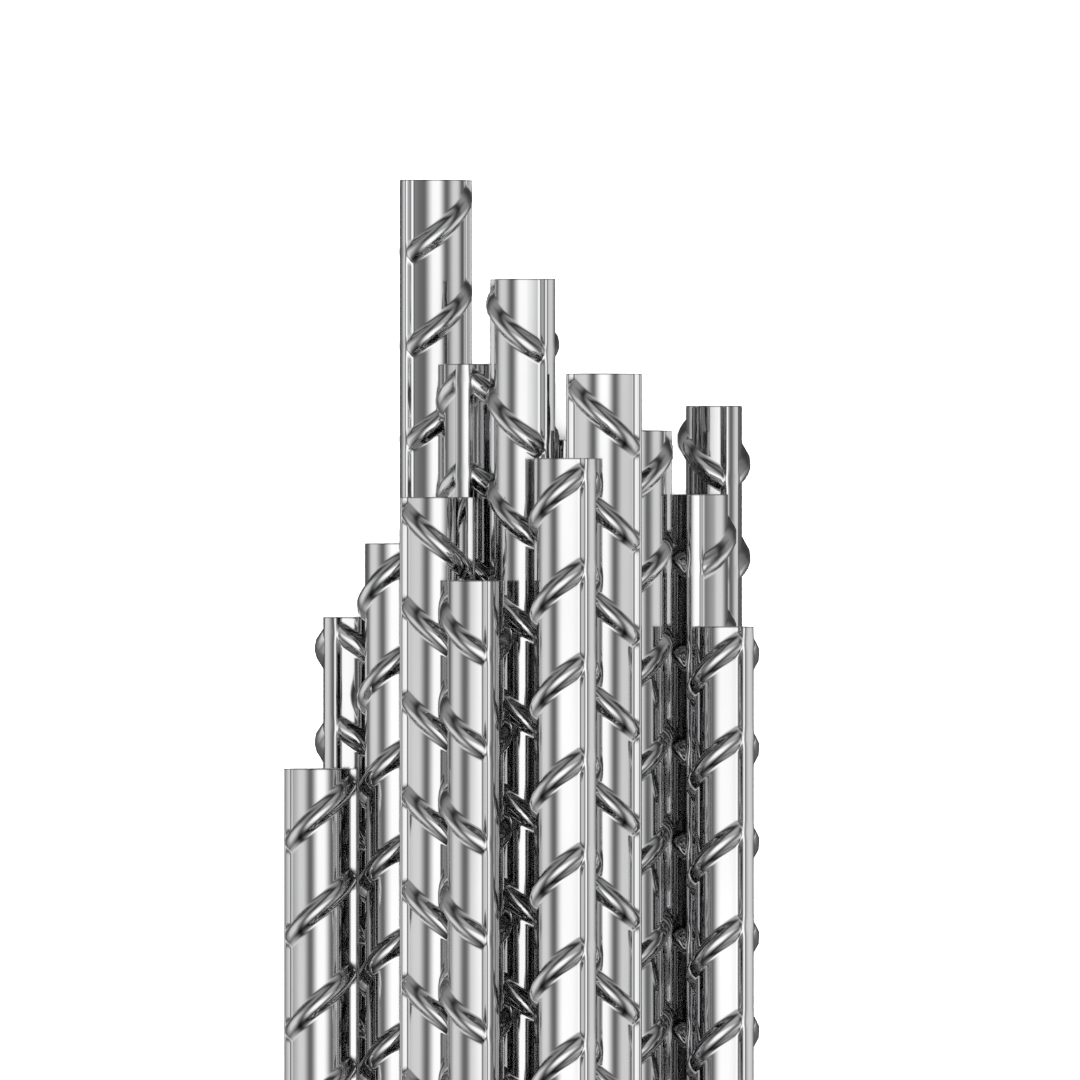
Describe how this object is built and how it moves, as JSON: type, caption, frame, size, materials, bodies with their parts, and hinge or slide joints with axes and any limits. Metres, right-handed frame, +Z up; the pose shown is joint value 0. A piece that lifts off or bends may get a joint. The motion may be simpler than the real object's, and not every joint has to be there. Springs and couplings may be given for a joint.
{
  "type": "rebar bundle",
  "caption": "Bundle of straight ribbed steel reinforcing bars with staggered square ends, lying on the floor and held together by twisted wire ties.",
  "frame": {"origin": "under the middle of the bundle, on the floor that it lies on", "axes": "+Y along the bars towards the staggered front ends, +Z up, +X to the right when looking along +Y"},
  "size_m": [0.1692, 2.199, 0.1205],
  "materials": {
    "bar_steel": "bright, smooth and clean, with sharp reflections",
    "tie_wire": "annealed wire, darker and satin"
  },
  "bodies": {
    "root": {"bar_01": "bar_steel", "bar_02": "bar_steel", "bar_03": "bar_steel", "bar_04": "bar_steel", "bar_05": "bar_steel", "bar_06": "bar_steel", "bar_07": "bar_steel", "bar_08": "bar_steel", "bar_09": "bar_steel", "bar_10": "bar_steel", "bar_11": "bar_steel", "bar_12": "bar_steel", "bar_13": "bar_steel", "bar_14": "bar_steel", "bar_15": "bar_steel", "bar_16": "bar_steel", "bar_17": "bar_steel", "wire_tie_1": "tie_wire", "wire_tie_2": "tie_wire", "wire_tie_3": "tie_wire"}
  },
  "joints": []
}
